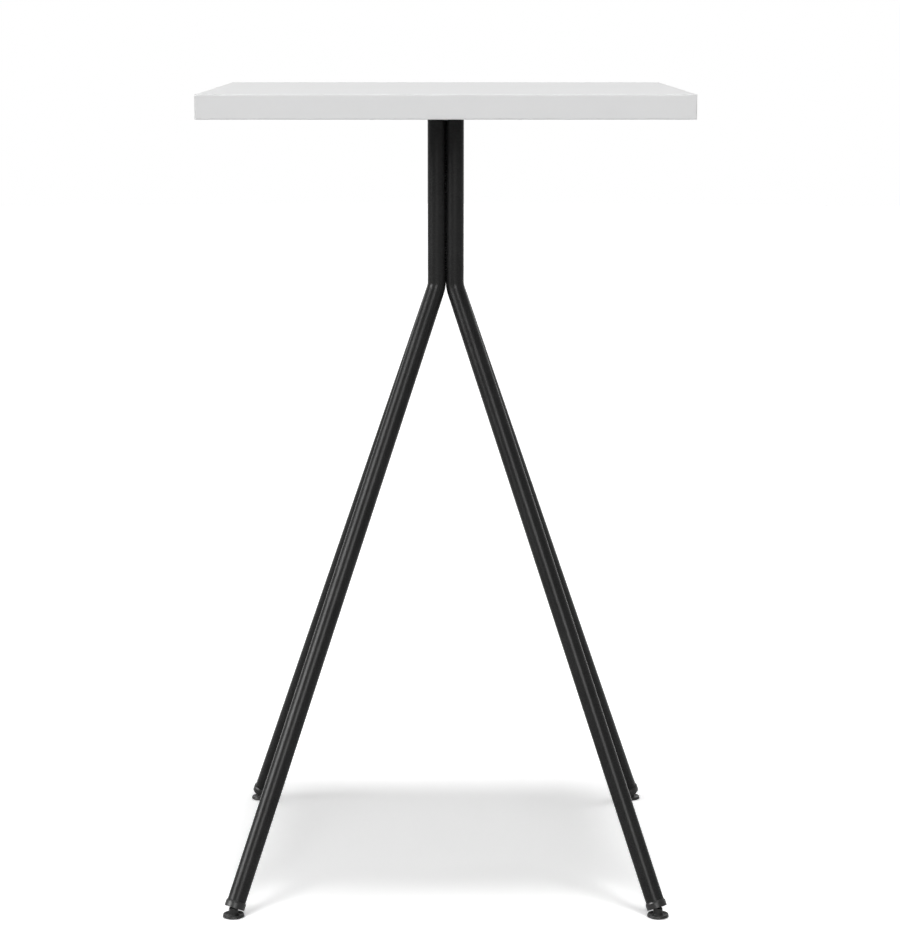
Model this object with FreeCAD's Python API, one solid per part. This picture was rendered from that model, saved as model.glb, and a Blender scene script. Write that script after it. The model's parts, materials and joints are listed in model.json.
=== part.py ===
import FreeCAD, Part
import math
import os

# Standing meeting table: a square laminated top on four bent steel tubes, which stand
# bundled as a column under the top and splay to four levelling feet.
#
# Frame: millimetres, origin on the floor under the middle of the top, X across the front,
# Y towards the back and Z up.
#
# One leg is built in the XZ plane, leaning towards +X. Four turned copies make the table.

Vector = FreeCAD.Vector
Placement = FreeCAD.Placement
Rotation = FreeCAD.Rotation
UP = Vector(0, 0, 1)

# ---- whole table
overall_height = 1100.0
top_width = 640.0
top_depth = 640.0

# A rounded edge takes up at most this share of the wall that it is on.
fillet_share = 0.95

# ---- layers of the top
laminate_thickness = 1.0
core_thickness = 30.0
backer_thickness = 1.0
band_thickness = 2.0
band_edge_radius = 1.8
band_corner_radius = 1.6

# ---- mounting plate, screwed up against the top
plate_width = 240.0
plate_thickness = 5.0
plate_corner_radius = 22.0
hole_inset = 20.0
hole_clearance = 0.5

# ---- screws, washers and inserts
screw_diameter = 6.0
screw_length = 18.0
head_diameter = 10.5
head_height = 3.3
crown_diameter = 6.4
drive_width = 4.0
drive_depth = 2.0
washer_diameter = 12.5
washer_thickness = 1.2
washer_clearance = 0.2
insert_length = 13.0
insert_wall = 1.6
insert_barb = 0.5
insert_barb_count = 2
insert_flange_width = 1.4
insert_flange_sink = 0.4
thread_clearance = 0.05
hole_end_clearance = 2.0

# ---- legs
tube_diameter = 25.0
tube_wall = 2.0
tube_gap = 0.2
bend_height = 825.0
bend_radius = 50.0
foot_spread = 286.0

# ---- weld beads
plate_bead_leg = 4.0
stitch_length = 24.0
stitch_radius = 4.0
stitch_depth = 7.5
stitch_margin = 30.0
stitch_count = 3
stitched_sides = (0.0, 90.0, 180.0)

# ---- pad and sole, measured up from the floor
pad_diameter = 30.0
pad_rim_height = 4.6
pad_rim_radius = 1.9
pad_foot_radius = 0.7
pad_dish_depth = 1.1
pad_dish_clearance = 2.0
sole_diameter = 26.0
sole_thickness = 1.4
sole_proud = 0.5
sole_clearance = 0.1
socket_web = 2.75
socket_wall = 1.6
socket_rise = 1.6
socket_chamfer = 0.8

# ---- stem, measured out from the centre of its ball
ball_diameter = 9.0
ball_clearance = 0.1
neck_diameter = 5.2
swivel_angle = 29.0
stem_diameter = 8.0
stem_length = 28.0
stem_chamfer = 0.8
flange_width = 13.0
flange_height = 3.5
hex_chamfer_angle = 30.0

# ---- end cap and its nut
cap_step = 1.5
cap_edge_radius = 1.2
cap_lip_radius = 0.5
cap_running_gap = 0.2
cap_floor = 1.6
flange_sink = 2.5
flange_side_clearance = 2.0
nut_width = 13.0
nut_height = 6.5
nut_web = 2.0
nut_clearance = 0.1
stem_clearance = 0.08
stem_hole_clearance = 0.4
plug_length = 18.0
plug_wall = 2.0
plug_clearance = 0.1
plug_rib_height = 0.5
plug_rib_width = 1.6
plug_rib_count = 6

# ---- heights worked out from the top down
core_top = overall_height - laminate_thickness
core_bottom = core_top - core_thickness
top_underside = core_bottom - backer_thickness
column_top = top_underside - plate_thickness
core_width = top_width - 2 * band_thickness
core_depth = top_depth - 2 * band_thickness

# ---- fasteners
screw_radius = screw_diameter / 2
insert_radius = screw_radius + thread_clearance + insert_wall
insert_hole_radius = insert_radius + insert_barb + thread_clearance
insert_flange_radius = insert_hole_radius + insert_flange_width
insert_seat = core_bottom + insert_flange_sink
screw_end = top_underside - washer_thickness - plate_thickness + screw_length

# ---- foot, along the leg's axis from the centre of the ball
ball_radius = ball_diameter / 2
socket_radius = ball_radius + ball_clearance
ball_height = sole_thickness + socket_web + socket_radius
boss_radius = socket_radius + socket_wall
stem_radius = stem_diameter / 2
swivel = math.radians(swivel_angle)
socket_reach = socket_rise * math.cos(swivel) + (boss_radius - socket_chamfer) * math.sin(swivel)
cap_bottom = socket_reach + cap_running_gap
flange_bottom = cap_bottom + flange_sink
flange_top = flange_bottom + flange_height
nut_bottom = flange_top + nut_web
nut_top = nut_bottom + nut_height
tube_end = flange_top + cap_floor
plug_top = tube_end + plug_length

# ---- leg
tube_radius = tube_diameter / 2
bore_radius = tube_radius - tube_wall
bundle_offset = tube_radius + tube_gap / 2
column_offset = bundle_offset * math.sqrt(2)
foot_offset = foot_spread * math.sqrt(2)
lean = math.atan2(foot_offset - column_offset, bend_height - ball_height)
leg_direction = Vector(math.sin(lean), 0, -math.cos(lean))

# Each corner is the built leg, turned this many degrees about the table's middle.
corners = {"rear_right": 45.0, "rear_left": 135.0, "front_left": 225.0, "front_right": 315.0}


# ---- helpers

def turned(shape, degrees):
    """A copy of the shape, turned about the table's upright middle line."""
    copy = shape.copy()
    copy.rotate(Vector(0, 0, 0), UP, degrees)
    return copy


def on_leg_axis(shape):
    """A foot piece built upright about the ball's centre, set on the leaning leg."""
    copy = shape.copy()
    lean_back = Rotation(Vector(0, 1, 0), -math.degrees(lean))
    copy.Placement = Placement(Vector(foot_offset, 0, ball_height), lean_back)
    return copy


def under_ball(shape):
    """A pad piece built upright on the floor, set under the ball."""
    copy = shape.copy()
    copy.translate(Vector(foot_offset, 0, 0))
    return copy


def rod(radius, low, high):
    """An upright cylinder on the Z axis between two heights."""
    return Part.makeCylinder(radius, high - low, Vector(0, 0, low))


def slab(width, depth, low, high):
    """A box centred on the Z axis between two heights."""
    corner = Vector(-width / 2, -depth / 2, low)
    return Part.makeBox(width, depth, high - low, corner)


def hexagon(width, low, high):
    """A hexagonal prism, by its width across the flats."""
    corner_radius = width / math.sqrt(3)
    points = []
    for turn in range(7):
        angle = math.radians(60 * turn)
        points.append(Vector(corner_radius * math.cos(angle), corner_radius * math.sin(angle), low))
    return Part.Face(Part.makePolygon(points)).extrude(Vector(0, 0, high - low))


def double_cone(radius, low, high):
    """A cylinder with its two ends cut back to a cone, which rounds off a hexagon's corners."""
    reach = radius * 2 / math.sqrt(3)
    drop = (reach - radius) * math.tan(math.radians(hex_chamfer_angle))
    return lathe(outline(
        (0, low),
        (radius, low),
        (reach, low + drop),
        (reach, high - drop),
        (radius, high),
        (0, high),
    ))


def line(start, end):
    return Part.LineSegment(start, end).toShape()


def arc(start, centre, end):
    """The shorter arc between two points of one circle."""
    halfway = (start - centre) + (end - centre)
    halfway.normalize()
    middle = centre + halfway * (start - centre).Length
    return Part.Arc(start, middle, end).toShape()


def outline(start, *steps):
    """A closed wire in the XZ plane, from points given as (across, up).

    A step is the next point, or a pair of points: an arc's centre and the point it ends at.
    """
    here = Vector(start[0], 0, start[1])
    edges = []
    for step in steps + (start,):
        is_arc = isinstance(step[0], tuple)
        target = step[1] if is_arc else step
        there = Vector(target[0], 0, target[1])
        if is_arc:
            centre = Vector(step[0][0], 0, step[0][1])
            edges.append(arc(here, centre, there))
        elif there.distanceToPoint(here) > 0:
            edges.append(line(here, there))
        here = there
    return Part.Wire(edges)


def lathe(wire):
    """A solid turned about the Z axis from a closed outline in the XZ plane."""
    return Part.Face(wire).revolve(Vector(0, 0, 0), UP, 360)


def edges_at(shape, height):
    """The edges of a shape that lie all along one height."""
    found = []
    for edge in shape.Edges:
        box = edge.BoundBox
        if abs(box.ZMin - height) < 1e-6 and abs(box.ZMax - height) < 1e-6:
            found.append(edge)
    return found


def upright_edges(shape):
    """The straight upright edges of a box."""
    found = []
    for edge in shape.Edges:
        box = edge.BoundBox
        if box.XLength < 1e-6 and box.YLength < 1e-6:
            found.append(edge)
    return found


# ---- top

def plate_hole_places():
    """The eight screw places: the corners of a square and the middles of its sides."""
    reach = plate_width / 2 - hole_inset
    places = []
    for across in (-1, 0, 1):
        for back in (-1, 0, 1):
            if across or back:
                places.append(Vector(across * reach, back * reach, 0))
    return places


def at_plate_holes(shape):
    """Copies of one fastener at every screw place."""
    copies = []
    for place in plate_hole_places():
        copy = shape.copy()
        copy.translate(place)
        copies.append(copy)
    return copies


def tabletop_core():
    board = slab(core_width, core_depth, core_bottom, core_top)
    bore_end = core_bottom + insert_length + hole_end_clearance
    bore = rod(insert_hole_radius, core_bottom, bore_end)
    counterbore = rod(insert_flange_radius, core_bottom, insert_seat)
    return board.cut(at_plate_holes(bore.fuse(counterbore)))


def top_laminate():
    return slab(core_width, core_depth, core_top, overall_height)


def bottom_backer():
    sheet = slab(core_width, core_depth, top_underside, core_bottom)
    return sheet.cut(at_plate_holes(rod(insert_flange_radius, top_underside, core_bottom)))


def band_ring():
    """The banding all round the top, with its long edges and its corners rounded."""
    block = slab(top_width, top_depth, top_underside, overall_height)
    block = block.makeFillet(band_corner_radius, upright_edges(block))
    long_edges = edges_at(block, top_underside) + edges_at(block, overall_height)
    block = block.makeFillet(min(band_edge_radius, fillet_share * band_thickness), long_edges)
    return block.cut(slab(core_width, core_depth, top_underside, overall_height))


def edge_bands():
    """Four bands: front and back run full width, left and right stand between them."""
    ring = band_ring()
    low = top_underside
    height = overall_height - top_underside
    side = core_depth / 2
    front = Part.makeBox(top_width, band_thickness, height, Vector(-top_width / 2, -top_depth / 2, low))
    back = Part.makeBox(top_width, band_thickness, height, Vector(-top_width / 2, side, low))
    left = Part.makeBox(band_thickness, core_depth, height, Vector(-top_width / 2, -side, low))
    right = Part.makeBox(band_thickness, core_depth, height, Vector(core_width / 2, -side, low))
    zones = {"front": front, "back": back, "left": left, "right": right}
    return {"edge_band_" + name: ring.common(zone) for name, zone in zones.items()}


def threaded_insert():
    """A barbed insert, its flange flush with the underside of the top."""
    flange_radius = insert_flange_radius - thread_clearance
    ridge = insert_radius + insert_barb
    insert_top = core_bottom + insert_length
    pitch = (insert_top - insert_seat) / insert_barb_count
    bore = screw_radius + thread_clearance
    barbs = []
    for turn in range(insert_barb_count):
        barbs.append((ridge, insert_seat + turn * pitch))
        barbs.append((insert_radius, insert_seat + (turn + 1) * pitch))
    return lathe(outline(
        (bore, top_underside),
        (flange_radius, top_underside),
        (flange_radius, insert_seat),
        *barbs,
        (bore, insert_top),
    ))


# ---- mounting plate and its fasteners

def mounting_plate():
    plate = slab(plate_width, plate_width, column_top, top_underside)
    plate = plate.makeFillet(plate_corner_radius, upright_edges(plate))
    return plate.cut(at_plate_holes(rod(screw_radius + hole_clearance, column_top, top_underside)))


def plate_washer():
    washer_bottom = column_top - washer_thickness
    disc = rod(washer_diameter / 2, washer_bottom, column_top)
    return disc.cut(rod(screw_radius + washer_clearance, washer_bottom, column_top))


def plate_screw():
    """A button head screw, standing head down under the plate, with a hexagon drive."""
    seat = column_top - washer_thickness
    crown = seat - head_height
    rim = head_diameter / 2
    flat = crown_diameter / 2
    # The dome is part of a sphere through the crown's rim and the head's rim.
    dome_centre = seat + (rim ** 2 - flat ** 2 - head_height ** 2) / (2 * head_height)
    screw = lathe(outline(
        (0, crown),
        (flat, crown),
        ((0, dome_centre), (rim, seat)),
        (screw_radius, seat),
        (screw_radius, screw_end),
        (0, screw_end),
    ))
    return screw.cut(hexagon(drive_width, crown, crown + drive_depth))


# ---- legs

def leg_path():
    """The leg's middle line: down the column, round the bend and out to the foot."""
    turn_length = bend_radius * math.tan(lean / 2)
    corner = Vector(column_offset, 0, bend_height)
    top = Vector(column_offset, 0, column_top)
    bend_start = corner + UP * turn_length
    bend_end = corner + leg_direction * turn_length
    centre = bend_start + Vector(bend_radius, 0, 0)
    foot = Vector(foot_offset, 0, ball_height) - leg_direction * tube_end
    return Part.Wire([
        line(top, bend_start),
        arc(bend_start, centre, bend_end),
        line(bend_end, foot),
    ])


def bent_rod(radius):
    """A solid round bar of one radius along the leg's middle line."""
    start = Vector(column_offset, 0, column_top)
    ring = Part.Wire(Part.makeCircle(radius, start, UP))
    return leg_path().makePipeShell([ring], True, False)


def leg_tube():
    return bent_rod(tube_radius).cut(bent_rod(bore_radius))


# ---- welds

def column_tubes(radius, low, high):
    """The four tubes of the column as upright solid bars."""
    bars = []
    for across in (-1, 1):
        for back in (-1, 1):
            bar = rod(radius, low, high)
            bar.translate(Vector(across * bundle_offset, back * bundle_offset, 0))
            bars.append(bar)
    return bars


def plate_weld():
    """The fillet bead where the bundle meets the plate, round its outside only."""
    low = column_top - plate_bead_leg
    skirts = []
    for across in (-1, 1):
        for back in (-1, 1):
            spread = tube_radius + plate_bead_leg
            skirt = Part.makeCone(tube_radius, spread, plate_bead_leg, Vector(0, 0, low))
            skirt.translate(Vector(across * bundle_offset, back * bundle_offset, 0))
            skirts.append(skirt)
    bead = skirts[0].fuse(skirts[1:])
    bead = bead.cut(column_tubes(tube_radius, low, column_top))
    return bead.cut(slab(2 * bundle_offset, 2 * bundle_offset, low, column_top))


def stitch_bead():
    """One short bead in the valley between two tubes, on the +X side of the column."""
    inner = bundle_offset + stitch_depth - stitch_radius
    bead = Part.makeCylinder(stitch_radius, stitch_length, Vector(inner, 0, 0))
    width = 2 * stitch_radius
    outer_half = Part.makeBox(width, width, stitch_length, Vector(inner, -stitch_radius, 0))
    bead = bead.common(outer_half)
    return bead.cut(column_tubes(tube_radius, 0, stitch_length))


def column_welds():
    bead = stitch_bead()
    lowest = bend_height + stitch_margin
    highest = column_top - stitch_margin - stitch_length
    beads = []
    for side in stitched_sides:
        for step in range(stitch_count):
            copy = turned(bead, side)
            copy.translate(UP * (lowest + (highest - lowest) * step / (stitch_count - 1)))
            beads.append(copy)
    return beads


# ---- end cap and nut, built upright about the ball's centre

def cap_collar():
    """The collar that the tube stands on, its shoulder and its lip rounded."""
    radius = tube_radius + cap_step
    collar = rod(radius, cap_bottom, tube_end)
    shoulder = edges_at(collar, tube_end)
    collar = collar.makeFillet(min(cap_edge_radius, fillet_share * cap_step), shoulder)
    return collar.makeFillet(cap_lip_radius, edges_at(collar, cap_bottom))


def cap_plug():
    """The plug inside the tube, with ribs that grip the tube's bore."""
    grip_radius = bore_radius - plug_clearance
    core = rod(grip_radius - plug_rib_height, tube_end, plug_top)
    ribs = []
    for turn in range(plug_rib_count):
        rib = slab(grip_radius, plug_rib_width, tube_end, plug_top)
        rib.translate(Vector(grip_radius / 2, 0, 0))
        ribs.append(turned(rib, 360 * turn / plug_rib_count))
    ribbed = core.fuse(ribs)
    return ribbed.common(rod(grip_radius, tube_end, plug_top))


def end_cap():
    cap = cap_collar().fuse(cap_plug())
    recess_radius = flange_width / math.sqrt(3) + flange_side_clearance
    hollow_radius = bore_radius - plug_clearance - plug_rib_height - plug_wall
    recess = rod(recess_radius, cap_bottom, flange_top)
    bore = rod(stem_radius + stem_hole_clearance, flange_top, nut_bottom)
    pocket = hexagon(nut_width + 2 * nut_clearance, nut_bottom, nut_top)
    hollow = rod(hollow_radius, nut_top, plug_top)
    return cap.cut([recess, bore, pocket, hollow]).removeSplitter()


def insert_nut():
    body = hexagon(nut_width, nut_bottom, nut_top)
    body = body.common(double_cone(nut_width / 2, nut_bottom, nut_top))
    return body.cut(rod(stem_radius + stem_clearance, nut_bottom, nut_top))


# ---- stem, built upright about the ball's centre

def glide_stem():
    """The threaded stem, its hexagon flange, its neck and the ball under it."""
    ball = Part.makeSphere(ball_radius)
    neck = rod(neck_diameter / 2, 0, flange_bottom)
    flange = hexagon(flange_width, flange_bottom, flange_top)
    flange = flange.common(double_cone(flange_width / 2, flange_bottom, flange_top))
    shank = rod(stem_radius, flange_top, flange_top + stem_length)
    shank = shank.makeChamfer(stem_chamfer, edges_at(shank, flange_top + stem_length))
    return ball.fuse([neck, flange, shank])


# ---- pad and sole, built upright on the floor

def glide_pad():
    """The pad: a rounded rim, a shallow dish and the boss that holds the ball."""
    rim = pad_diameter / 2
    crest = rim - pad_rim_radius
    shoulder = pad_rim_height - pad_rim_radius
    tread = rim - pad_foot_radius
    tread_top = sole_proud + pad_foot_radius
    recess = sole_diameter / 2 + sole_clearance
    dish_radius = boss_radius + pad_dish_clearance
    dish_height = pad_rim_height - pad_dish_depth
    boss_foot = dish_height + pad_dish_clearance
    mouth_height = ball_height + socket_rise
    mouth_radius = math.sqrt(socket_radius ** 2 - socket_rise ** 2)
    return lathe(outline(
        (0, sole_thickness),
        (recess, sole_thickness),
        (recess, sole_proud),
        (tread, sole_proud),
        ((tread, tread_top), (rim, tread_top)),
        (rim, shoulder),
        ((crest, shoulder), (crest, pad_rim_height)),
        (dish_radius, dish_height),
        ((dish_radius, boss_foot), (boss_radius, boss_foot)),
        (boss_radius, mouth_height - socket_chamfer),
        (boss_radius - socket_chamfer, mouth_height),
        (mouth_radius, mouth_height),
        ((0, ball_height), (0, ball_height - socket_radius)),
    ))


def pad_sole():
    return rod(sole_diameter / 2, 0, sole_thickness)


# ---- the whole table

def table_nodes():
    """Every node's name with its shape, or with its list of shapes where it is a group."""
    nodes = {
        "tabletop_core": tabletop_core(),
        "top_laminate": top_laminate(),
        "bottom_backer": bottom_backer(),
        "threaded_inserts": at_plate_holes(threaded_insert()),
        "mounting_plate": mounting_plate(),
        "plate_screws": at_plate_holes(plate_screw()),
        "plate_washers": at_plate_holes(plate_washer()),
        "plate_weld": plate_weld(),
        "column_welds": column_welds(),
    }
    nodes.update(edge_bands())
    corner_pieces = {
        "leg": leg_tube(),
        "end_cap": on_leg_axis(end_cap()),
        "insert_nut": on_leg_axis(insert_nut()),
        "glide_stem": on_leg_axis(glide_stem()),
        "glide_pad": under_ball(glide_pad()),
        "pad_sole": under_ball(pad_sole()),
    }
    for corner, degrees in corners.items():
        for piece, shape in corner_pieces.items():
            nodes[piece + "_" + corner] = turned(shape, degrees)
    return nodes


def export(nodes):
    os.makedirs("parts", exist_ok=True)
    for name, shape in nodes.items():
        if isinstance(shape, list):
            shape = Part.makeCompound(shape)
        shape.exportStep("parts/" + name + ".step")
        print(name, len(shape.Solids), "solids", round(shape.Volume, 1), "mm3", shape.isValid())


export(table_nodes())
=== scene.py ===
# %% [markdown]
# # A standing meeting table
#
# A white laminated top stands on four bent steel tubes. They run down together as one column,
# bend apart and end in levelling feet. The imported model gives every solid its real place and
# size. This lesson dresses it: each solid that can be seen is modelled again with smooth
# curves, eased edges and beads of weld, and every surface gets a finish of its own.
#
# Everything is in metres, with +Z up and the front of the table towards -Y.

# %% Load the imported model
import json
import math

import bmesh
import bpy
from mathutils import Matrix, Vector


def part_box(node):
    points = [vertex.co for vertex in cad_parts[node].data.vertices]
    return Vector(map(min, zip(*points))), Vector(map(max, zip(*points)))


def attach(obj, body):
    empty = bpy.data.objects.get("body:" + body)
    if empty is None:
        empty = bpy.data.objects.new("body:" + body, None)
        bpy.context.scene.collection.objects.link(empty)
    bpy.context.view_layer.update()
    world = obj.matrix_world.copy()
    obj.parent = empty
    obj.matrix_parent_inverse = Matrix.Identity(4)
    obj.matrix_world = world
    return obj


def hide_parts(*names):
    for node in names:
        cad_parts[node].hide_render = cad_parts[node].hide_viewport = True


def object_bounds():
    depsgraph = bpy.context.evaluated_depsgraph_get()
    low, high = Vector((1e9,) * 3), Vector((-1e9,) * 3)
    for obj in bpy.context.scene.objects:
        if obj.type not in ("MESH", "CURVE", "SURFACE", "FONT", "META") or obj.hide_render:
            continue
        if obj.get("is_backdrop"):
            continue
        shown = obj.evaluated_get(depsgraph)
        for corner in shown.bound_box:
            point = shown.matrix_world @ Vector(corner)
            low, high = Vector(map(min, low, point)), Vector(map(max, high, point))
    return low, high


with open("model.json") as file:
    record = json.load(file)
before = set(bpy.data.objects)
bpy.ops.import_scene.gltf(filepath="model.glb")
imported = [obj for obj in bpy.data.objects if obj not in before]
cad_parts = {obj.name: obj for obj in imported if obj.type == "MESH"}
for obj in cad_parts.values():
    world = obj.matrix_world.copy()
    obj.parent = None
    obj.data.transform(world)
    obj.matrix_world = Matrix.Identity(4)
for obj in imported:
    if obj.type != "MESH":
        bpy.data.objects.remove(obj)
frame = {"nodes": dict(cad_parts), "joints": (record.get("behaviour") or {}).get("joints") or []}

cad_low, cad_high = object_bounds()
print("solids:", len(frame["nodes"]), "size:", [round(side, 3) for side in cad_high - cad_low])

# %% [markdown]
# ## Places
#
# A piece that is modelled again has to sit where its solid sits. The joints already say where
# each foot is: a pad tilts about the centre of a ball, and its stem slides along the leg. So
# the lean of a leg and the spread of the feet are read from the joints, and only sizes that
# the model doesn't state, such as the radius of a bend, are written here.
#
# One leg and its foot are modelled on the +X side. Four turned copies make the table.

# %% Places read from the joints and the solids
mm = 0.001
joints = {joint["name"]: joint for joint in frame["joints"]}
corners = {"rear_right": 45, "rear_left": 135, "front_left": 225, "front_right": 315}
ball = Vector(joints["tilt_rear_right"]["pos_m"])
leg_direction = Vector(joints["level_rear_right"]["axis"])
foot_offset = math.hypot(ball.x, ball.y)
lean = math.acos(-leg_direction.z)
plate_low, plate_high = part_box("mounting_plate")
print("lean:", round(math.degrees(lean), 2), "deg, foot offset:", round(foot_offset, 4), "m")

# %% [markdown]
# ## The camera
#
# A long lens keeps the legs nearly parallel, as the eye sees them across a room. The camera
# stands a little above the table's top and looks slightly down, so that the top shows as a
# thin slanting plane. The focal length and the optical centre are in pixels of the picture,
# and Blender's lens and shift follow from them.

# %% Camera
image_width = 900
image_height = 946
focal_length = 2770.9
optical_centre = 445.76
downward_tilt = 9.39
camera_place = (0, -3.8745, 1.1998)

camera_data = bpy.data.cameras.new("camera")
camera = bpy.data.objects.new("camera", camera_data)
bpy.context.scene.collection.objects.link(camera)
bpy.context.scene.camera = camera
camera.location = camera_place
camera.rotation_euler = (math.radians(90 - downward_tilt), 0, 0)
camera_data.lens = camera_data.sensor_width * focal_length / image_height
camera_data.shift_x = (image_width / 2 - optical_centre) / image_height
print("lens:", round(camera_data.lens, 1), "mm")

# %% [markdown]
# ## Node maths
#
# A finish is a small network of nodes. Writing it as a formula keeps it readable: a socket is
# wrapped in a class whose operators add the Math nodes. Every other kind of node comes from
# one function, which sets the node up first and then fills its sockets.

# %% Sockets as values
class Value:
    """A socket of a node tree, which Python's own operators work on."""

    def __init__(self, tree, socket):
        self.tree = tree
        self.socket = socket

    def math(self, operation, first, second):
        return add_node(self.tree, "Math", {"operation": operation}, {0: first, 1: second})

    def __add__(self, other):
        return self.math("ADD", self, other)

    def __radd__(self, other):
        return self.math("ADD", other, self)

    def __mul__(self, other):
        return self.math("MULTIPLY", self, other)

    def __rmul__(self, other):
        return self.math("MULTIPLY", other, self)


def add_node(tree, kind, settings=None, inputs=None, output=0):
    """Adds any node: its settings first, then the values or links of its sockets."""
    node = tree.nodes.new("ShaderNode" + kind)
    for name, value in (settings or {}).items():
        setattr(node, name, value)
    for name, value in (inputs or {}).items():
        if isinstance(value, Value):
            tree.links.new(value.socket, node.inputs[name])
        else:
            node.inputs[name].default_value = value
    return Value(tree, node.outputs[output]) if node.outputs else None


# %% [markdown]
# ## The studio
#
# The floor and the air behind the table are white. More light would also bleach the table, so
# the white is given only to rays that come from the camera, or that a shiny or clear surface
# sends on. Those rays see a floor that is paler and glows a little, white up to the edge of
# the shadow. The light that falls on the table comes from a grey sky, a floor that throws back
# half of what reaches it, and three lamps.
#
# A wide sun almost straight overhead, a little towards the front, leaves a soft patch of
# shadow between the feet. A tall softbox on the left and one in front light the edges. The
# bare front of each softbox is far brighter than what it throws on a wall, and shiny paint
# shows that as the streaks that run down each tube. So each softbox has a twin that only
# reflections see.

# %% Rays that see white
def sees_white(tree):
    """1 for a ray from the camera, or one that a shiny or clear surface sends on."""
    rays = [add_node(tree, "LightPath", output=name)
            for name in ("Is Camera Ray", "Is Glossy Ray", "Is Transmission Ray")]
    settings = {"operation": "ADD", "use_clamp": True}
    return add_node(tree, "Math", settings, {0: rays[0] + rays[1], 1: rays[2]})


# %% Sky
sky_strength = 0.22
white = (1, 1, 1, 1)

world = bpy.data.worlds.new("studio_sky")
bpy.context.scene.world = world
world.use_nodes = True
world.node_tree.nodes.clear()
sky_light = add_node(world.node_tree, "Background",
                     inputs={"Color": white, "Strength": sky_strength})
sky_seen = add_node(world.node_tree, "Background", inputs={"Color": white, "Strength": 1})
sky = add_node(world.node_tree, "MixShader",
               inputs={0: sees_white(world.node_tree), 1: sky_light, 2: sky_seen})
add_node(world.node_tree, "OutputWorld", inputs={"Surface": sky})
print("sky strength:", sky_strength)

# %% Floor
floor_radius = 14
floor_bounce = 0.5
floor_seen = 1.3
floor_glow = 0.236

bpy.ops.object.select_all(action="DESELECT")
bpy.ops.mesh.primitive_circle_add(vertices=96, radius=floor_radius, fill_type="NGON")
floor = bpy.context.object
floor.name = "floor"
floor_paint = bpy.data.materials.new("pale_floor")
floor_paint.use_nodes = True
tree = floor_paint.node_tree
tree.nodes.clear()
seen = sees_white(tree)
floor_colour = floor_bounce + seen * (floor_seen - floor_bounce)
paint = add_node(tree, "BsdfDiffuse", inputs={"Color": floor_colour})
glow = add_node(tree, "Emission", inputs={"Color": white, "Strength": seen * floor_glow})
surface = add_node(tree, "AddShader", inputs={0: paint, 1: glow})
add_node(tree, "OutputMaterial", inputs={"Surface": surface})
floor.data.materials.append(floor_paint)
floor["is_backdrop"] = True
print("floor radius:", floor_radius, "m")

# %% Lamps
def add_lamp(name, kind, place, aim, **settings):
    """Adds a lamp that stands at one point and shines towards another."""
    data = bpy.data.lights.new(name, kind)
    for setting, value in settings.items():
        setattr(data, setting, value)
    lamp = bpy.data.objects.new(name, data)
    bpy.context.scene.collection.objects.link(lamp)
    lamp.location = place
    lamp.rotation_euler = (Vector(aim) - Vector(place)).to_track_quat("-Z", "Y").to_euler()
    return lamp


table_foot = (0, 0, 0)
table_middle = (0, 0, 0.7)
sun_place = (0.045, -0.34, 4)
sun_width = math.radians(13.5)
left_place = (-5.7, -1.9, 3.1)
front_place = (0.1, -6.0, 2.9)
left_shape = {"shape": "RECTANGLE", "size": 3.0, "size_y": 2.4}
front_shape = {"shape": "RECTANGLE", "size": 2.3, "size_y": 2.4}

add_lamp("overhead_sun", "SUN", sun_place, table_foot, energy=1.57, angle=sun_width)
add_lamp("left_softbox", "AREA", left_place, table_middle, energy=72, **left_shape)
add_lamp("front_softbox", "AREA", front_place, table_middle, energy=156, **front_shape)
for name, place, energy, shape in (("left_streak", left_place, 1750, left_shape),
                                   ("front_streak", front_place, 460, front_shape)):
    streak = add_lamp(name, "AREA", place, table_middle, energy=energy, **shape)
    streak.visible_diffuse = False

# %% [markdown]
# ## Finishes
#
# Each finish is one material. Its patterns read Object coordinates, which are metres here, so
# a scale of 1000 draws a detail about a millimetre across. Colour, roughness and height vary
# a little everywhere, because no moulded, coated or printed surface is perfectly even.

# %% A finish and the nodes that feed it
class Finish:
    """A material with a Principled shader: constants on its sockets, patterns linked in."""

    def __init__(self, name, **constants):
        self.material = bpy.data.materials.new(name)
        self.material.use_nodes = True
        self.tree = self.material.node_tree
        self.shader = self.tree.nodes["Principled BSDF"]
        for socket, value in constants.items():
            self.shader.inputs[socket.replace("_", " ")].default_value = value
        self.place = self.node("TexCoord", output="Object")

    def node(self, kind, settings=None, inputs=None, output=0):
        return add_node(self.tree, kind, settings, inputs, output)

    def noise(self, scale, detail, place=None):
        """Cloudy values from 0 to 1."""
        inputs = {"Vector": place or self.place, "Scale": scale, "Detail": detail}
        return self.node("TexNoise", inputs=inputs)

    def stretched(self, scale):
        """Places scaled so that a pattern draws out into streaks where the scale is small."""
        return self.node("Mapping", inputs={"Vector": self.place, "Scale": scale})

    def range(self, value, low, high, to_low=0.0, to_high=1.0):
        """A value from low to high, spread over another range and kept inside it."""
        return self.node("MapRange", inputs={"Value": value, "From Min": low, "From Max": high,
                                             "To Min": to_low, "To Max": to_high})

    def mixed(self, share, first, second):
        """One colour at a share of 0, another at 1."""
        inputs = {0: share, 6: first, 7: second}
        return self.node("Mix", {"data_type": "RGBA"}, inputs, output=2)

    def link(self, socket, value):
        self.tree.links.new(value.socket, self.shader.inputs[socket])

    def relief(self, height, depth):
        """Bumps whose full height is a depth in metres."""
        self.link("Normal", self.node("Bump", inputs={"Height": height, "Distance": depth}))


def grey(level, warmth=0.0):
    return (level + warmth, level, level - warmth, 1)


# %% [markdown]
# ### White laminate and edge band
#
# High-pressure laminate is printed paper under clear resin, pressed against a plate with a
# fine pearl texture. The edge band is plastic of the same white, a little smoother. Two
# noises of different size make the pearl; a third one, very faint, keeps the white from
# being dead flat.

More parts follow.
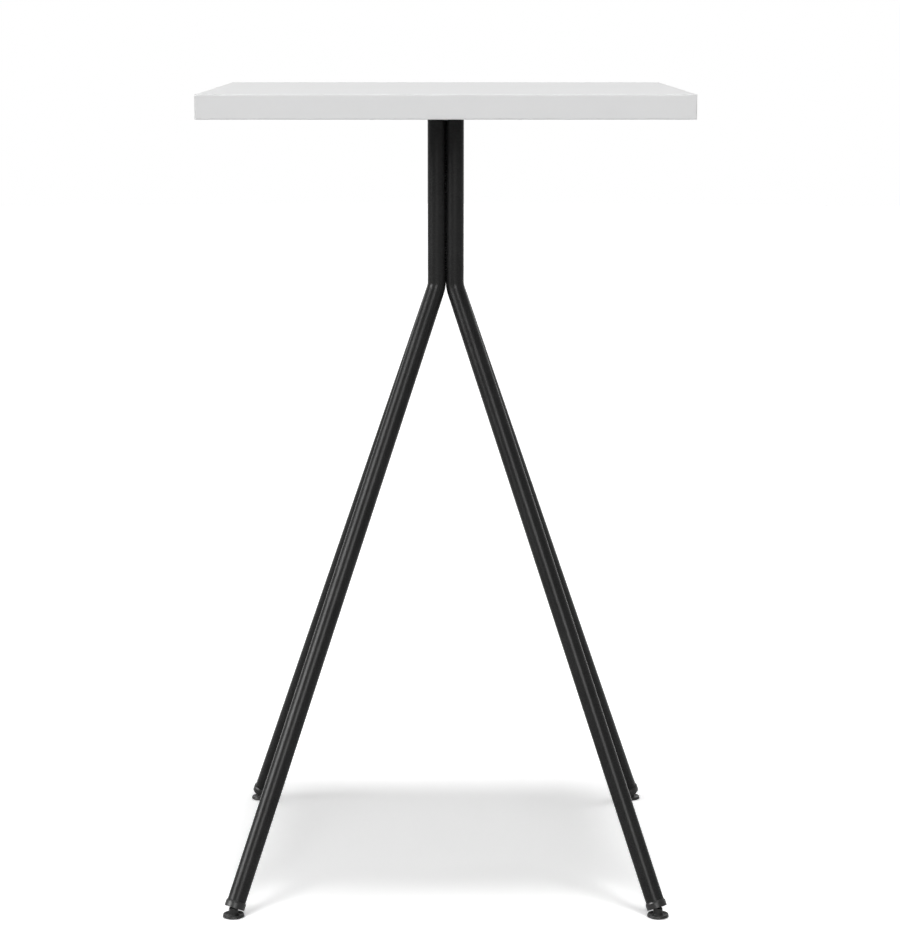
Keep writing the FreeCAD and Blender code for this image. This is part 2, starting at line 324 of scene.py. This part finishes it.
# %% White laminate and edge band
def white_finish(name, level, pearl_size, pearl_depth, roughness):
    finish = Finish(name, Specular_IOR_Level=0.1)
    darkest = level * 0.985
    warmth = -0.002
    cloud = finish.noise(9, 3)
    finish.link("Base Color", finish.mixed(cloud, grey(darkest, warmth), grey(level, warmth)))
    pearl = finish.noise(0.9 / pearl_size, 3)
    grain = finish.noise(3 / pearl_size, 2)
    finish.link("Roughness", finish.range(pearl, 0.3, 0.7, roughness - 0.04, roughness + 0.06))
    finish.relief(pearl + grain * 0.4, pearl_depth)
    return finish.material


laminate = white_finish("white_laminate", 0.79, 1.1 * mm, 0.010 * mm, 0.5)
edge_band = white_finish("white_edge_band", 0.77, 1.8 * mm, 0.006 * mm, 0.45)

# %% [markdown]
# ### Black powder coat
#
# Powder paint melts into a film with a soft waviness like orange peel and a finer grit on top.
# Both are bumps. The black is really a very dark grey, and it is a touch lighter where the
# film lies thin.

# %% Black powder coat
def powder_coat():
    finish = Finish("black_powder_coat", Specular_IOR_Level=0.07)
    peel = finish.noise(520, 2)
    grit = finish.noise(2600, 2)
    thin = finish.range(finish.noise(26, 3), 0.35, 0.7)
    finish.link("Base Color", finish.mixed(thin, grey(0.015), grey(0.020)))
    finish.link("Roughness", finish.range(peel + grit * 0.5, 0.5, 1.0, 0.24, 0.30))
    finish.relief(peel + grit * 0.35, 0.012 * mm)
    return finish.material


black_coat = powder_coat()

# %% [markdown]
# ### Black nylon and rubber
#
# The end caps and pads are injection moulded against a spark-eroded steel mould, which leaves
# a fine matt grain. Rubber is duller still, and gathers a little dust.

# %% Black nylon and rubber
def moulded(name, level, dust, gloss, roughness, grain_size, grain_depth):
    finish = Finish(name, Specular_IOR_Level=gloss)
    grain = finish.noise(1 / grain_size, 2)
    cloud = finish.range(finish.noise(160, 3), 0.4, 0.75)
    finish.link("Base Color", finish.mixed(cloud, grey(level), grey(dust, 0.001)))
    finish.link("Roughness", finish.range(grain, 0.3, 0.7, roughness - 0.05, roughness + 0.08))
    finish.relief(grain, grain_depth)
    return finish.material


nylon = moulded("black_nylon", 0.016, 0.022, 0.18, 0.30, 0.25 * mm, 0.010 * mm)
rubber = moulded("sole_rubber", 0.012, 0.024, 0.09, 0.75, 0.4 * mm, 0.03 * mm)

# %% [markdown]
# ### Zinc plate
#
# Screws, washers and nuts are steel with a thin bright zinc plate. It reflects softly, with
# cloudy patches and fine scratches from the tumbling barrel. The stems of the feet get the
# same plate in near-black, which is painted shade: they lie in shade inside the pads' towers,
# where bright zinc would show a glint.

# %% Zinc plate
def zinc_plate(name, dull, bright):
    finish = Finish(name, Metallic=1.0)
    cloud = finish.noise(420, 4)
    scratch = finish.noise(900, 4, finish.stretched((1, 1, 0.15)))
    tint = finish.mixed(finish.range(cloud, 0.3, 0.7), dull, bright)
    finish.link("Base Color", tint)
    finish.link("Roughness", finish.range(cloud * 0.6 + scratch * 0.4, 0.3, 0.7, 0.22, 0.42))
    finish.relief(scratch, 0.004 * mm)
    return finish.material


zinc = zinc_plate("zinc_plate", (0.50, 0.51, 0.53, 1), (0.66, 0.66, 0.65, 1))
# Near-black zinc for the stems: painted shade for the dark inside of each pad's tower.
painted_shade_zinc = zinc_plate("painted_shade_zinc", grey(0.030, -0.001), grey(0.055, 0.001))

# %% [markdown]
# ### Particleboard and backing sheet
#
# The core is pressed wood chips. They are seen only when the top is taken apart, but the
# solid is there and gets its chips: the cells of a Voronoi pattern, each with its own shade.
# The backing sheet under the top is plain resin paper.

# %% Particleboard and backing sheet
def particleboard():
    finish = Finish("particleboard", Specular_IOR_Level=0.3)
    chip = finish.node("TexVoronoi", inputs={"Vector": finish.place, "Scale": 330}, output="Color")
    shade = finish.node("SeparateColor", inputs={"Color": chip})
    fibre = finish.noise(1500, 3)
    share = finish.range(shade * 0.7 + fibre * 0.3, 0.1, 0.9)
    finish.link("Base Color", finish.mixed(share, (0.36, 0.25, 0.14, 1), (0.64, 0.51, 0.34, 1)))
    finish.link("Roughness", finish.range(fibre, 0.3, 0.7, 0.7, 0.9))
    finish.relief(shade + fibre, 0.15 * mm)
    return finish.material


def backing_sheet():
    finish = Finish("backing_sheet", Specular_IOR_Level=0.3)
    cloud = finish.noise(30, 4)
    fibre = finish.noise(700, 2, finish.stretched((0.2, 1, 1)))
    finish.link("Base Color", finish.mixed(cloud, grey(0.60, 0.006), grey(0.66, 0.004)))
    finish.link("Roughness", finish.range(fibre, 0.3, 0.7, 0.5, 0.64))
    finish.relief(fibre, 0.01 * mm)
    return finish.material


chips = particleboard()
backing = backing_sheet()
print("finishes:", sorted(material.name for material in bpy.data.materials if material.users))

# %% [markdown]
# ## Working by hand, in code
#
# Every new piece starts as a primitive at its own size and place, and is shaped with the same
# operators that a modeller uses in edit mode. An operator acts on whatever is selected, so
# each step first selects what it needs, by its place.

# %% Helpers for modelling
def only(piece):
    """Makes one object the only selected one, and the active one."""
    bpy.ops.object.select_all(action="DESELECT")
    piece.select_set(True)
    bpy.context.view_layer.objects.active = piece


def settle():
    """Moves the active object's place, turn and size into its mesh."""
    bpy.ops.object.transform_apply(location=True, rotation=True, scale=True)


def begin(name, add, **settings):
    """Adds a primitive with nothing else selected, and opens it in edit mode."""
    bpy.ops.object.select_all(action="DESELECT")
    add(**settings)
    piece = bpy.context.object
    piece.name = piece.data.name = name
    settle()
    bpy.ops.object.mode_set(mode="EDIT")
    bpy.ops.mesh.select_mode(type="VERT")
    return piece


def end():
    """Merges doubled corners, turns the faces outwards and closes edit mode."""
    bpy.ops.mesh.select_all(action="SELECT")
    bpy.ops.mesh.remove_doubles(threshold=mm / 1000)
    bpy.ops.mesh.normals_make_consistent(inside=False)
    bpy.ops.object.mode_set(mode="OBJECT")


def select(kind, test):
    """In edit mode, selects the corners, edges or faces whose middle passes a test."""
    bpy.ops.mesh.select_mode(type=kind)
    bpy.ops.mesh.select_all(action="DESELECT")
    mesh = bmesh.from_edit_mesh(bpy.context.object.data)
    for part in {"VERT": mesh.verts, "EDGE": mesh.edges, "FACE": mesh.faces}[kind]:
        ends = [part] if kind == "VERT" else list(part.verts)
        middle = sum((corner.co for corner in ends), Vector()) / len(ends)
        if test(middle, part):
            part.select_set(True)
    bmesh.update_edit_mesh(bpy.context.object.data)


def modify(piece, kind, **settings):
    """Adds a modifier, sets it up and applies it."""
    only(piece)
    modifier = piece.modifiers.new(kind.title(), kind)
    for name, value in settings.items():
        setattr(modifier, name, value)
    bpy.ops.object.modifier_apply(modifier=modifier.name)


def combine(piece, other, operation):
    """Adds, cuts away or intersects another object, which is used up."""
    modify(piece, "BOOLEAN", operation=operation, solver="EXACT", object=other)
    bpy.data.objects.remove(other)
    bpy.ops.object.mode_set(mode="EDIT")
    end()


def upright(edge):
    """True for an edge that stands straight up."""
    way = edge.verts[1].co - edge.verts[0].co
    return abs(way.z) > 0.999 * way.length


# %% Finishing a piece
smooth_angle = math.radians(35)


def dress(piece, finish, slot, body, *nodes):
    """Shades a finished piece smoothly, gives it its surface, puts it under its body and hides the
    solids that it stands for.
    """
    only(piece)
    bpy.ops.object.shade_smooth_by_angle(angle=smooth_angle)
    modify(piece, "WEIGHTED_NORMAL", keep_sharp=True)
    piece.data.materials.clear()
    piece.data.materials.append(finish)
    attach(piece, body)
    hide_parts(*nodes)
    print(piece.name, "faces:", len(piece.data.polygons))


# %% [markdown]
# ## The top
#
# The top is a sandwich with a band glued on each side. What makes it look real is its edges.
# A router rounds the band after gluing, and that round catches a bright line above and a dark
# one below, so a block has its outer edges bevelled in several steps. Which edges are outer
# ones is easy to say: those where two faces of the whole top meet. Where a band meets the
# laminate, both have a hair of bevel, and the glue line shows from close by.

# %% Laminate sheet
seam_bevel = 0.15 * mm
sliver = 0.01 * mm


def block(name, low, high):
    """A box between two corners, open in edit mode."""
    return begin(name, bpy.ops.mesh.primitive_cube_add, size=1, location=(low + high) / 2,
                 scale=high - low)


sheet_low, sheet_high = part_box("top_laminate")
sheet = block("top_laminate_piece", sheet_low, sheet_high)
select("EDGE", lambda middle, edge: middle.z > sheet_high.z - sliver)
bpy.ops.mesh.bevel(offset=seam_bevel, segments=2)
end()
dress(sheet, laminate, "white_laminate", "table", "top_laminate")

# %% Edge bands
band_round = 1.7 * mm
top_half = cad_high.x


def faces_met(middle, low, high):
    """How many of the whole top's outer faces a point lies on."""
    sides = (abs(middle.x) > top_half - sliver) + (abs(middle.y) > top_half - sliver)
    return sides + (middle.z > high - sliver or middle.z < low + sliver)


for side in ("front", "back", "left", "right"):
    low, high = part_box("edge_band_" + side)
    band = block("edge_band_piece_" + side, low, high)
    across = 1 if side in ("front", "back") else 0
    inner = min(abs(low[across]), abs(high[across]))
    select("EDGE", lambda middle, edge: faces_met(middle, low.z, high.z)
           and abs(middle[across]) < inner + sliver and not upright(edge))
    bpy.ops.mesh.bevel(offset=seam_bevel, segments=2)
    select("EDGE", lambda middle, edge: faces_met(middle, low.z, high.z) > 1)
    bpy.ops.mesh.bevel(offset=band_round, segments=6)
    end()
    dress(band, edge_band, "white_edge_band", "table", "edge_band_" + side)

# %% [markdown]
# ## The mounting plate
#
# A steel plate joins the column to the top. It is cut by laser, so its outline is exact, and
# its edges are only broken by the grinder and softened by paint. The corners are bevelled
# first, with many segments, then the screw holes are cut, and last every sharp edge gets a
# small bevel.

# %% Screw places
hole_inset = 20 * mm
hole_reach = plate_high.x - hole_inset
hole_places = [(across * hole_reach, back * hole_reach, 0)
               for across in (-1, 0, 1) for back in (-1, 0, 1) if across or back]


def at_holes(piece):
    """Copies of one fastener at every screw place, joined into one object."""
    copies = []
    for place in hole_places:
        copy = piece.copy()
        copy.data = piece.data.copy()
        bpy.context.scene.collection.objects.link(copy)
        copy.location = place
        copies.append(copy)
    bpy.ops.object.select_all(action="DESELECT")
    for copy in copies:
        copy.select_set(True)
    bpy.context.view_layer.objects.active = copies[0]
    settle()
    bpy.ops.object.join()
    joined = bpy.context.object
    joined.name = joined.data.name = piece.name + "_set"
    bpy.data.objects.remove(piece)
    return joined


print("screws:", len(hole_places))

# %% Mounting plate
plate_corner = 22 * mm
plate_edge = 0.5 * mm
hole_radius = 3.5 * mm
cutter_depth = 20 * mm
sharp_angle = math.radians(50)

plate = block("mounting_plate_piece", plate_low, plate_high)
select("EDGE", lambda middle, edge: upright(edge))
bpy.ops.mesh.bevel(offset=plate_corner, segments=16)
end()

cutter = begin("hole_cutter", bpy.ops.mesh.primitive_cylinder_add, vertices=40, radius=hole_radius,
               depth=cutter_depth, location=(0, 0, plate_low.z))
end()
combine(plate, at_holes(cutter), "DIFFERENCE")
modify(plate, "BEVEL", width=plate_edge, segments=3, limit_method="ANGLE",
       angle_limit=sharp_angle)
dress(plate, black_coat, "black_powder_coat", "table", "mounting_plate")

# %% [markdown]
# ## Turned pieces
#
# Screws, washers, end caps and pads are all turned or moulded round. On a lathe one outline
# makes the whole piece, and Blender's spin does the same: a single corner is extruded from
# point to point until it has drawn half the section, and the line is spun once round. An
# outline is in millimetres: how far out, how high, and, where there is a third number, the
# radius to which that corner is rounded.

# %% The lathe
def eased(outline, steps=5):
    """The points of an outline, where a corner given a third number is rounded to it."""
    points = []
    for index, corner in enumerate(outline):
        place = Vector(corner[:2])
        if len(corner) == 2:
            points.append(place)
            continue
        before = (Vector(outline[index - 1][:2]) - place).normalized()
        after = (Vector(outline[(index + 1) % len(outline)][:2]) - place).normalized()
        half = before.angle(after) / 2
        centre = place + (before + after).normalized() * corner[2] / math.sin(half)
        first = place + before * corner[2] / math.tan(half) - centre
        last = place + after * corner[2] / math.tan(half) - centre
        swing = first.angle(last)
        for step in range(steps + 1):
            share = step / steps
            spoke = first * math.sin((1 - share) * swing) + last * math.sin(share * swing)
            points.append(centre + spoke / math.sin(swing))
    return points


def arc(height, radius, first, last, steps):
    """Points on a circle centred on the turning axis, between two angles in degrees."""
    angles = [math.radians(first + (last - first) * step / steps) for step in range(steps + 1)]
    return [(radius * math.cos(angle), height + radius * math.sin(angle)) for angle in angles]


def draw(name, points, closed=False):
    """Draws a line in the XZ plane from points given in millimetres."""
    piece = begin(name, bpy.ops.mesh.primitive_plane_add, size=mm)
    bpy.ops.mesh.merge(type="CENTER")
    here = Vector()
    for index, (across, up) in enumerate(points + points[:1] if closed else points):
        step = Vector((across * mm, 0, up * mm)) - here
        if index:
            bpy.ops.mesh.extrude_region_move(TRANSFORM_OT_translate={"value": step})
        else:
            bpy.ops.transform.translate(value=step)
        here += step
    return piece


def lathe(name, points, closed=False, steps=64):
    """Draws an outline and spins it once round Z."""
    piece = draw(name, points, closed)
    bpy.ops.mesh.select_all(action="SELECT")
    bpy.ops.mesh.spin(steps=steps, angle=math.tau, center=(0, 0, 0), axis=(0, 0, 1))
    end()
    return piece


def prism(name, width, low, high):
    """A hexagonal bar, by its width across the flats, with a corner towards +X."""
    piece = begin(name, bpy.ops.mesh.primitive_cylinder_add, vertices=6,
                  radius=width / math.sqrt(3) * mm, depth=(high - low) * mm,
                  location=(0, 0, (low + high) / 2 * mm), rotation=(0, 0, math.radians(30)))
    end()
    return piece


# %% [markdown]
# ### Screws and washers
#
# A pan-head screw has a flat crown, a domed rim and a hexagonal drive. The dome is an arc whose
# centre lies on the axis, and it has to meet the edge of the crown and the rim of the seat, so
# its radius follows from three sizes of the head. A sphere could be cut flat instead, but one
# outline gives head and shank together.

# %% Screws and washers
washer_hole = 3.2
washer_radius = 6.25
washer_thickness = 1.2
shank_radius = 3.0
shank_length = 18
head_height = 2.1
drive_width = 4
drive_depth = 1.7
seat = plate_low.z / mm - washer_thickness
crown = seat - head_height
flat_radius = 2.9
rim_radius = 5.25
dome_height = seat + (rim_radius ** 2 - flat_radius ** 2 - head_height ** 2) / (2 * head_height)
dome_radius = math.hypot(flat_radius, dome_height - crown)
dome_start = -math.degrees(math.acos(flat_radius / dome_radius))
dome_end = -math.degrees(math.acos(rim_radius / dome_radius))

screw = lathe("plate_screw", [
    (0, crown), (flat_radius - 0.2, crown),
    *arc(dome_height, dome_radius, dome_start, dome_end, 8),
    *eased([(rim_radius, seat), (shank_radius, seat, 0.3),
            (shank_radius, seat + shank_length, 0.5), (0, seat + shank_length)])[1:],
])
combine(screw, prism("drive", drive_width, crown - 1, crown + drive_depth), "DIFFERENCE")
dress(at_holes(screw), zinc, "zinc_steel", "table", "plate_screws")

washer = lathe("plate_washer", eased([
    (washer_hole, seat, 0.15), (washer_radius, seat, 0.25),
    (washer_radius, seat + washer_thickness, 0.25), (washer_hole, seat + washer_thickness, 0.15),
], 3), closed=True)
dress(at_holes(washer), zinc, "zinc_steel", "table", "plate_washers")

# %% [markdown]
# ## The legs
#
# Each leg is one steel tube, bent once on a mandrel. It could be a curve with a round bevel,
# but a tube bender's way is as short here: a ring of 48 corners is pushed straight down the
# column, swung round the bend and pushed on to the foot. The bend is tight, so that the legs
# part in a sharp V. All this leaves a skin with no thickness, so Solidify gives it a wall, and
# the sawn ends get a small bevel.
#
# The column's solids stand 0.2 mm apart, and light would show through. Each tube is drawn
# 0.1 mm larger all round, as if by its coat of paint, so that neighbours touch.

# %% Tube and bend
tube_radius = 12.6 * mm
tube_wall = 2.1 * mm
bundle_offset = tube_radius
column_offset = bundle_offset * math.sqrt(2)
column_top = plate_low.z
bend_radius = 32 * mm
bend_height = ball.z + (foot_offset - column_offset) / math.tan(lean)
bend_start = bend_height + bend_radius * math.tan(lean / 2)
tube_end = 11.817 * mm
sawn_edge = 0.3 * mm
ring_corners = 48
bend_steps = 14

swing = Vector((bend_radius * (1 - math.cos(lean)), 0, -bend_radius * math.sin(lean)))
bend_end = Vector((column_offset, 0, bend_start)) + swing
foot_end = Vector((foot_offset - math.sin(lean) * tube_end, 0, ball.z + math.cos(lean) * tube_end))

leg = begin("leg", bpy.ops.mesh.primitive_circle_add, vertices=ring_corners, radius=tube_radius,
            location=(column_offset, 0, column_top))
bpy.ops.mesh.extrude_region_move(TRANSFORM_OT_translate={"value": (0, 0, bend_start - column_top)})
bpy.ops.mesh.spin(steps=bend_steps, angle=lean, axis=(0, 1, 0),
                  center=(column_offset + bend_radius, 0, bend_start))
bpy.ops.mesh.extrude_region_move(TRANSFORM_OT_translate={"value": foot_end - bend_end})
end()
modify(leg, "SOLIDIFY", thickness=tube_wall, offset=-1, use_even_offset=True)
modify(leg, "BEVEL", width=sawn_edge, segments=2, limit_method="ANGLE", angle_limit=sharp_angle)
print("the bend starts at", round(bend_start, 4))
print("the tube ends at", [round(along, 4) for along in foot_end])

# %% Copies for the four corners
def duplicate(piece, name, place=(0, 0, 0), tilt=0.0, turn=0.0):
    """A copy with its own mesh, tilted about Y, moved, and turned about the table's middle."""
    copy = piece.copy()
    copy.data = piece.data.copy()
    copy.name = copy.data.name = name
    bpy.context.scene.collection.objects.link(copy)
    only(copy)
    copy.rotation_euler = (0, tilt, 0)
    copy.location = place
    settle()
    copy.rotation_euler = (0, 0, math.radians(turn))
    settle()
    return copy


def at_corners(piece, finish, slot, body, **place):
    """Four turned copies of one piece, each for the solid of its own corner."""
    kind = piece.name
    for corner, turn in corners.items():
        copy = duplicate(piece, kind + "_piece_" + corner, turn=turn, **place)
        dress(copy, finish, slot, body.replace("CORNER", corner), kind + "_" + corner)
    bpy.data.objects.remove(piece)


at_corners(leg, black_coat, "black_powder_coat", "table")

# %% [markdown]
# ## The welds
#
# A bead laid by hand is a row of puddles, each frozen over the last one. A plain ring with
# every other loop of corners drawn in makes such ripples. The bead under the plate is four
# rings, one round each tube. Their inner quarters lie inside the bundle, where no torch can
# reach, so these are cut away.

# %% Bead under the plate
bead_ring = tube_radius + 1.1 * mm
bead_size = 2.7 * mm
bead_height = column_top - 1.0 * mm
bead_steps = 96
bead_sides = 14
bead_cut = 0.8 * mm
bead_ripple = (0.985, 0.985, 0.86)


def bead_arc(across, back):
    """Three quarters of a rippled ring round one tube of the column."""
    middle = Vector((across * bundle_offset, back * bundle_offset, bead_height))
    piece = begin("bead", bpy.ops.mesh.primitive_torus_add, major_segments=bead_steps,
                  minor_segments=bead_sides, major_radius=bead_ring, minor_radius=bead_size,
                  location=middle)
    # Neighbours end one step apart, so that the faces that close them don't coincide.
    reach = bundle_offset + (bead_cut if across == back else 0)

    def inside(place, face):
        return abs(place.x) < reach and abs(place.y) < reach

    select("FACE", inside)
    bpy.ops.mesh.delete(type="FACE")

    def on_ripple(place, corner):
        """Every other loop of corners, by the angle at which it stands round the tube."""
        angle = math.atan2(place.y - middle.y, place.x - middle.x)
        return round(angle / math.tau * bead_steps) % 2 == 0

    select("VERT", on_ripple)
    bpy.ops.transform.resize(value=bead_ripple, center_override=middle)
    select("EDGE", lambda place, edge: edge.is_boundary)
    bpy.ops.mesh.edge_face_add()
    end()
    return piece


plate_weld = bead_arc(1, 1)
for across, back in ((-1, 1), (-1, -1), (1, -1)):
    combine(plate_weld, bead_arc(across, back), "UNION")
plate_weld.name = plate_weld.data.name = "plate_weld_piece"
dress(plate_weld, black_coat, "black_powder_coat", "table", "plate_weld")

# %% Stitch beads
stitch_radius = 4 * mm
stitch_length = 24 * mm
stitch_offset = bundle_offset + 3.5 * mm
stitch_margin = 30 * mm
stitch_ripple = (0.9, 0.9, 1)
stitch_taper = (0.6, 0.6, 1)
ripple = 1.5 * mm


def stitch(height):
    """One short bead that stands in the valley on the +X side of the column."""
    middle = Vector((stitch_offset, 0, height + stitch_length / 2))
    piece = begin("stitch", bpy.ops.mesh.primitive_cylinder_add, vertices=20, radius=stitch_radius,
                  depth=stitch_length, location=middle)
    select("EDGE", lambda place, edge: upright(edge))
    bpy.ops.mesh.subdivide(number_cuts=round(stitch_length / ripple) - 1)
    select("VERT", lambda place, corner: round((place.z - height) / ripple) % 2 == 0)
    bpy.ops.transform.resize(value=stitch_ripple, center_override=middle)
    select("VERT", lambda place, corner: abs(place.z - middle.z) > stitch_length / 2 - sliver)
    bpy.ops.transform.resize(value=stitch_taper, center_override=middle)
    end()
    modify(piece, "SUBSURF", levels=2, render_levels=2)
    return piece


lowest = bend_height + stitch_margin
highest = column_top - stitch_margin - stitch_length
beads = []
for turn in (0, 90, 180):
    for height in (lowest, (lowest + highest) / 2, highest):
        bead = stitch(height)
        beads.append(duplicate(bead, "column_welds_piece", turn=turn))
        bpy.data.objects.remove(bead)

bpy.ops.object.select_all(action="DESELECT")
for bead in beads:
    bead.select_set(True)
bpy.ops.object.join()
dress(bpy.context.object, black_coat, "black_powder_coat", "table", "column_welds")

# %% [markdown]
# ## The feet
#
# A moulded cap closes each tube. Its plug grips the bore with six ribs, its collar carries the
# tube's end and has a thin lip round it, and a nut sits in its pocket. The levelling stem
# screws into that nut and ends in a ball. The pad below snaps over the ball with a low tower,
# so it stays flat on the floor while the leg leans.
#
# Cap and stem are modelled upright about the middle of the ball and then tilted to the leg,
# so their heights are above that middle. The pad and its sole stay upright on the floor.

# %% Sizes of the end cap
cap_bottom = 3.4
recess_radius = 9.506
collar_radius = 14
shoulder = tube_end / mm
lip_radius = tube_radius / mm + 0.02
lip_thickness = 0.35
lip_top = shoulder + 1.4
plug_radius = 9.9
plug_bore = 7.9
plug_top = shoulder + 18
stem_hole_radius = 4.4
flange_bottom = 6.717
flange_top = flange_bottom + 3.5
nut_bottom = flange_top + 2
nut_top = nut_bottom + 6.5
pocket_width = 13.2
print("the cap is", round(plug_top - cap_bottom, 1), "mm long")

# %% Cap
cap = lathe("end_cap", eased([
    (recess_radius, cap_bottom, 0.3), (collar_radius, cap_bottom, 0.4),
    (collar_radius, shoulder - 0.8, 0.5), (lip_radius + lip_thickness, lip_top, 0.3),
    (lip_radius, lip_top, 0.1), (lip_radius, shoulder), (plug_radius, shoulder),
    (plug_radius, plug_top, 0.6), (plug_bore, plug_top, 0.3), (plug_bore, nut_top),
    (stem_hole_radius, nut_top), (stem_hole_radius, flange_top, 0.3), (recess_radius, flange_top),
]), closed=True, steps=72)
combine(cap, prism("nut_pocket", pocket_width, nut_bottom, nut_top + 1), "DIFFERENCE")
print("faces before the ribs:", len(cap.data.polygons))

# %% Ribs of the plug
rib_size = (1.5 * mm, 1.6 * mm, 17 * mm)
rib_place = (9.65 * mm, 0, (shoulder + 8.9) * mm)
rib_round = 0.35 * mm
rib_count = 6

rib = begin("rib", bpy.ops.mesh.primitive_cube_add, size=1, scale=rib_size, location=rib_place)
select("EDGE", lambda place, edge: place.x > plug_radius * mm)
bpy.ops.mesh.bevel(offset=rib_round, segments=3)
end()
for step in range(rib_count):
    combine(cap, duplicate(rib, "rib_copy", turn=360 / rib_count * step), "UNION")
bpy.data.objects.remove(rib)

on_the_leg = {"place": (foot_offset, 0, ball.z), "tilt": -lean}
at_corners(cap, nylon, "black_nylon", "table", **on_the_leg)

# %% [markdown]
# ### The levelling stem
#
# The lathe makes the ball, its neck, a round core for the flange and the rod inside the thread.
# A hexagonal bar becomes the flange once its corners are chamfered: it is intersected with a
# turned blank, as a nut's corners are turned off. The thread could be only a bump in the
# finish, but the Screw modifier winds one small triangle up the rod and makes a real ridge.

# %% Stems
ball_radius = 4.5
neck_radius = 2.6
thread_core = 3.35
thread_crest = 4.0
thread_pitch = 1.25
stem_top = flange_top + 28
flange_core = 5.5
flange_width = 13
flange_flat = flange_width / 2
flange_reach = 7.6
chamfer = (flange_width / math.sqrt(3) - flange_flat) * math.tan(math.radians(30)) * 1.1

neck_start = math.degrees(math.acos(neck_radius / ball_radius))
stem = lathe("glide_stem", arc(0, ball_radius, -90, neck_start, 24) + eased([
    (neck_radius, flange_bottom, 0.4), (flange_core, flange_bottom), (flange_core, flange_top),
    (thread_core, flange_top, 0.3), (thread_core, stem_top, 0.6), (0, stem_top),
]))

flange = prism("flange", flange_width, flange_bottom, flange_top)
rounder = lathe("rounder", [
    (0, flange_bottom), (flange_flat, flange_bottom), (flange_reach, flange_bottom + chamfer),
    (flange_reach, flange_top - chamfer), (flange_flat, flange_top), (0, flange_top),
])
combine(flange, rounder, "INTERSECT")
combine(stem, flange, "UNION")

# %% Thread
thread_start = flange_top + 1.2
thread_turns = 20
thread_half = thread_pitch / 2 - 0.06
thread_root = thread_core - 0.25

thread = draw("thread", [(thread_root, thread_start - thread_half), (thread_crest, thread_start),
                         (thread_root, thread_start + thread_half)], closed=True)
end()
modify(thread, "SCREW", axis="Z", angle=math.tau, screw_offset=thread_pitch * mm,
       iterations=thread_turns, steps=24, render_steps=24)

# Each end of the ridge is drawn together to a point, where the die ran out.
bpy.ops.object.mode_set(mode="EDIT")
halfway = (thread_start + thread_pitch * thread_turns / 2) * mm
for below in (True, False):
    select("VERT", lambda place, corner: corner.is_boundary and (place.z < halfway) == below)
    bpy.ops.mesh.merge(type="CENTER")
end()
combine(stem, thread, "UNION")
# The stems get the near-black zinc, which is painted shade for the dark inside the pads' towers.
at_corners(stem, painted_shade_zinc, "black_powder_coat", "stem_CORNER", **on_the_leg)

# %% [markdown]
# ### The pad and its sole
#
# The pad is moulded in one: a dished disc with a raised rim, and a tower that holds the ball.
# Its socket reaches a little past the middle of the ball, which is what makes it snap on. The
# outline runs out along the bottom, up over the rim, up the tower and back down inside the
# socket. A rubber disc sits in the pocket below and touches the floor.

# %% Pads and soles
ball_height = ball.z / mm
socket_radius = 4.6
grip = 1.6
grip_angle = math.degrees(math.asin(grip / socket_radius))
grip_radius = socket_radius * math.cos(math.radians(grip_angle))
tower_top = ball_height + 3.8
tower_radius = 6.1
mouth_radius = 5.25
sole_radius = 13
sole_top = 1.4
sole_pocket = 13.1
pad_radius = 15
pad_bottom = 0.9
pad_rim = (13.9, 4.95, 0.7)
pad_dish = (8.2, 2.9, 1.2)
tower_foot = (6.7, 4.2, 1.3)

pad = lathe("glide_pad", eased([
    (0, sole_top), (sole_pocket, sole_top), (sole_pocket, pad_bottom),
    (pad_radius, pad_bottom, 0.5), pad_rim, pad_dish, tower_foot, (tower_radius, tower_top, 0.3),
    (mouth_radius, tower_top, 0.2), (grip_radius, ball_height + grip),
], 7)[:-1] + arc(ball_height, socket_radius, grip_angle, -90, 18), steps=96)

sole = lathe("pad_sole", eased([
    (0, 0), (sole_radius, 0, 0.3), (sole_radius, sole_top, 0.2), (0, sole_top),
]), steps=96)

under_the_ball = {"place": (foot_offset, 0, 0)}
at_corners(pad, nylon, "black_nylon", "pad_CORNER", **under_the_ball)
at_corners(sole, rubber, "sole_rubber", "pad_CORNER", **under_the_ball)

# %% [markdown]
# ## Solids that stay
#
# The core of the top, its backing sheet, the threaded inserts and the nuts in the feet are
# right as they are. They only get their surfaces.

# %% Surfaces of the solids that stay
kept = {"tabletop_core": chips, "bottom_backer": backing, "threaded_inserts": zinc}
kept.update({"insert_nut_" + corner: zinc for corner in corners})
for name, finish in kept.items():
    for slot in frame["nodes"][name].material_slots:
        slot.material = finish
print("solids that stay:", len(kept))

# %% [markdown]
# ## The last step
#
# The Standard view transform shows each colour as it is written. The growth from the packed
# model's size to the dressed one's is printed, so that the two can be compared.

# %% View and sizes
bpy.context.scene.view_settings.view_transform = "Standard"
low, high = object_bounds()
print("growth in mm:", [round(x * 1000, 2) for x in (*(cad_low - low), *(high - cad_high))])
